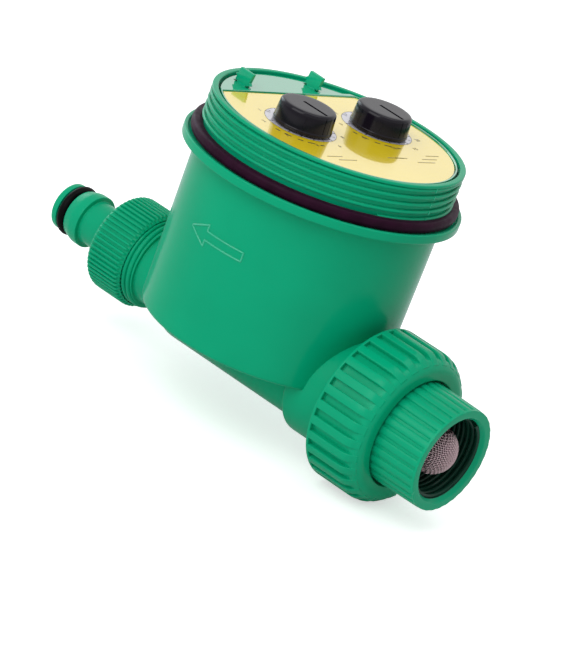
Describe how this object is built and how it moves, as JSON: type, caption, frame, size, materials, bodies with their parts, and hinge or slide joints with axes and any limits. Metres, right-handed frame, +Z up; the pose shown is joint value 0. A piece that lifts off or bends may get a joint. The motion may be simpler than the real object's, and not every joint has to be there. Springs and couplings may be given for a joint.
{
  "type": "drip irrigation timer",
  "caption": "Battery water timer: green bucket housing with a threaded neck, ring seal and dials, a ribbed tap union with a domed filter, and a push-on hose nozzle.",
  "frame": {"origin": "centre of the inlet adapter's open end face, where the tap's spout goes in", "axes": "+X along the pipe towards the tap, +Z up along the bucket towards the dials, +Y completes a right-handed frame"},
  "size_m": [0.1644, 0.0876, 0.1016],
  "materials": {
    "gloss_green": "glossy moulded green plastic",
    "satin_green": "satin moulded green plastic",
    "seal_rubber": "dark purple-black rubber with a soft sheen",
    "black_rubber": "black rubber",
    "knob_plastic": "charcoal plastic with a satin top",
    "label_print": "glossy yellow printed label",
    "steel": "bright drawn steel",
    "brass": "turned brass",
    "filter_mesh": "fine woven steel mesh, pinkish grey",
    "white_acetal": "white acetal",
    "board_green": "solder-masked circuit board",
    "cell_jacket": "plain cell jacket, bare of text",
    "black_plastic": "black plastic",
    "grey_plastic": "grey plastic",
    "seat_white": "white low-friction seat plastic"
  },
  "bodies": {
    "housing": {"housing": "gloss_green", "body_seal": "seal_rubber", "control_panel": "gloss_green", "panel_label": "label_print", "circuit_board": "board_green", "control_chip": "black_plastic", "capacitor": "black_plastic", "left_potentiometer": "grey_plastic", "right_potentiometer": "grey_plastic", "board_screw_1": "steel", "board_screw_2": "steel", "board_screw_3": "steel", "battery_chute": "black_plastic", "cell_1": "cell_jacket", "cell_2": "cell_jacket", "spring_contact": "steel", "plate_contact": "steel", "outlet_seat": "seat_white", "inlet_seat": "seat_white", "seat_retainer": "grey_plastic", "gland_ring": "grey_plastic", "stem_seal_1": "black_rubber", "stem_seal_2": "black_rubber", "gearbox_base": "black_plastic", "gearbox_lid": "black_plastic", "middle_gear_pin": "steel", "first_gear_pin": "steel", "motor": "steel", "gearbox_screw_1": "steel", "gearbox_screw_2": "steel", "inlet_washer": "black_rubber", "outlet_washer": "black_rubber"},
    "left_knob": {"left_knob": "knob_plastic", "left_knob_shaft": "grey_plastic"},
    "right_knob": {"right_knob": "knob_plastic", "right_knob_shaft": "grey_plastic"},
    "union_nut": {"union_nut": "satin_green"},
    "tap_adapter": {"tap_adapter": "satin_green"},
    "filter": {"filter_rim": "black_rubber", "filter_dome": "filter_mesh"},
    "outlet_nut": {"outlet_nut": "satin_green"},
    "nozzle": {"nozzle": "satin_green", "nozzle_seal": "black_rubber"},
    "valve_drive": {"valve_ball": "steel", "valve_stem": "brass", "valve_gear": "white_acetal"},
    "middle_gear": {"middle_gear": "white_acetal"},
    "first_gear": {"first_gear": "white_acetal"},
    "motor_drive": {"motor_pinion": "brass", "motor_shaft": "steel"},
    "battery_cover": {"battery_cover": "gloss_green", "bridge_contact": "steel"},
    "left_latch": {"left_latch": "satin_green"},
    "right_latch": {"right_latch": "satin_green"}
  },
  "joints": [
    {"name": "left_knob_turn", "type": "hinge", "parent": "housing", "child": "left_knob", "pos_m": [-0.08024, -0.01638, 0.072], "axis": [0, 0, 1], "range_deg": [-145, 145]},
    {"name": "right_knob_turn", "type": "hinge", "parent": "housing", "child": "right_knob", "pos_m": [-0.07657, 0.01631, 0.072], "axis": [0, 0, 1], "range_deg": [-145, 145]},
    {"name": "union_nut_spin", "type": "hinge", "parent": "housing", "child": "union_nut", "pos_m": [-0.0257, 0, 0], "axis": [1, 0, 0], "continuous": true},
    {"name": "tap_adapter_spin", "type": "hinge", "parent": "housing", "child": "tap_adapter", "pos_m": [-0.0087, 0, 0], "axis": [1, 0, 0], "continuous": true},
    {"name": "filter_pull", "type": "slide", "parent": "tap_adapter", "child": "filter", "axis": [1, 0, 0], "range_m": [0, 0.025]},
    {"name": "outlet_nut_spin", "type": "hinge", "parent": "housing", "child": "outlet_nut", "pos_m": [-0.1327, 0, 0], "axis": [1, 0, 0], "continuous": true},
    {"name": "nozzle_spin", "type": "hinge", "parent": "housing", "child": "nozzle", "pos_m": [-0.1487, 0, 0], "axis": [1, 0, 0], "continuous": true},
    {"name": "valve_turn", "type": "hinge", "parent": "housing", "child": "valve_drive", "pos_m": [-0.0787, 0, 0.02], "axis": [0, 0, 1], "range_deg": [0, 90]},
    {"name": "middle_gear_turn", "type": "hinge", "parent": "housing", "child": "middle_gear", "pos_m": [-0.06742, 0.0041, 0.036], "axis": [0, 0, 1], "range_deg": [-270, 0]},
    {"name": "first_gear_turn", "type": "hinge", "parent": "housing", "child": "first_gear", "pos_m": [-0.06951, 0.01592, 0.038], "axis": [0, 0, 1], "range_deg": [0, 810]},
    {"name": "motor_turn", "type": "hinge", "parent": "housing", "child": "motor_drive", "pos_m": [-0.0811, 0.01903, 0.038], "axis": [0, 0, 1], "range_deg": [-2430, 0]},
    {"name": "battery_cover_lift", "type": "slide", "parent": "housing", "child": "battery_cover", "axis": [0, 0, 1], "range_m": [0, 0.03]},
    {"name": "left_latch_flex", "type": "hinge", "parent": "battery_cover", "child": "left_latch", "pos_m": [-0.10919, -0.01167, 0.0674], "axis": [-0.9938, 0.1115, 0], "range_deg": [0, 6], "stiffness_Nm_per_rad": 0.05},
    {"name": "right_latch_flex", "type": "hinge", "parent": "battery_cover", "child": "right_latch", "pos_m": [-0.10585, 0.01814, 0.0674], "axis": [0.9938, -0.1115, 0], "range_deg": [0, 6], "stiffness_Nm_per_rad": 0.05}
  ],
  "couplings": [
    {"joint": "middle_gear_turn", "follows": "valve_turn", "ratio": -3},
    {"joint": "first_gear_turn", "follows": "valve_turn", "ratio": 9},
    {"joint": "motor_turn", "follows": "valve_turn", "ratio": -27}
  ]
}
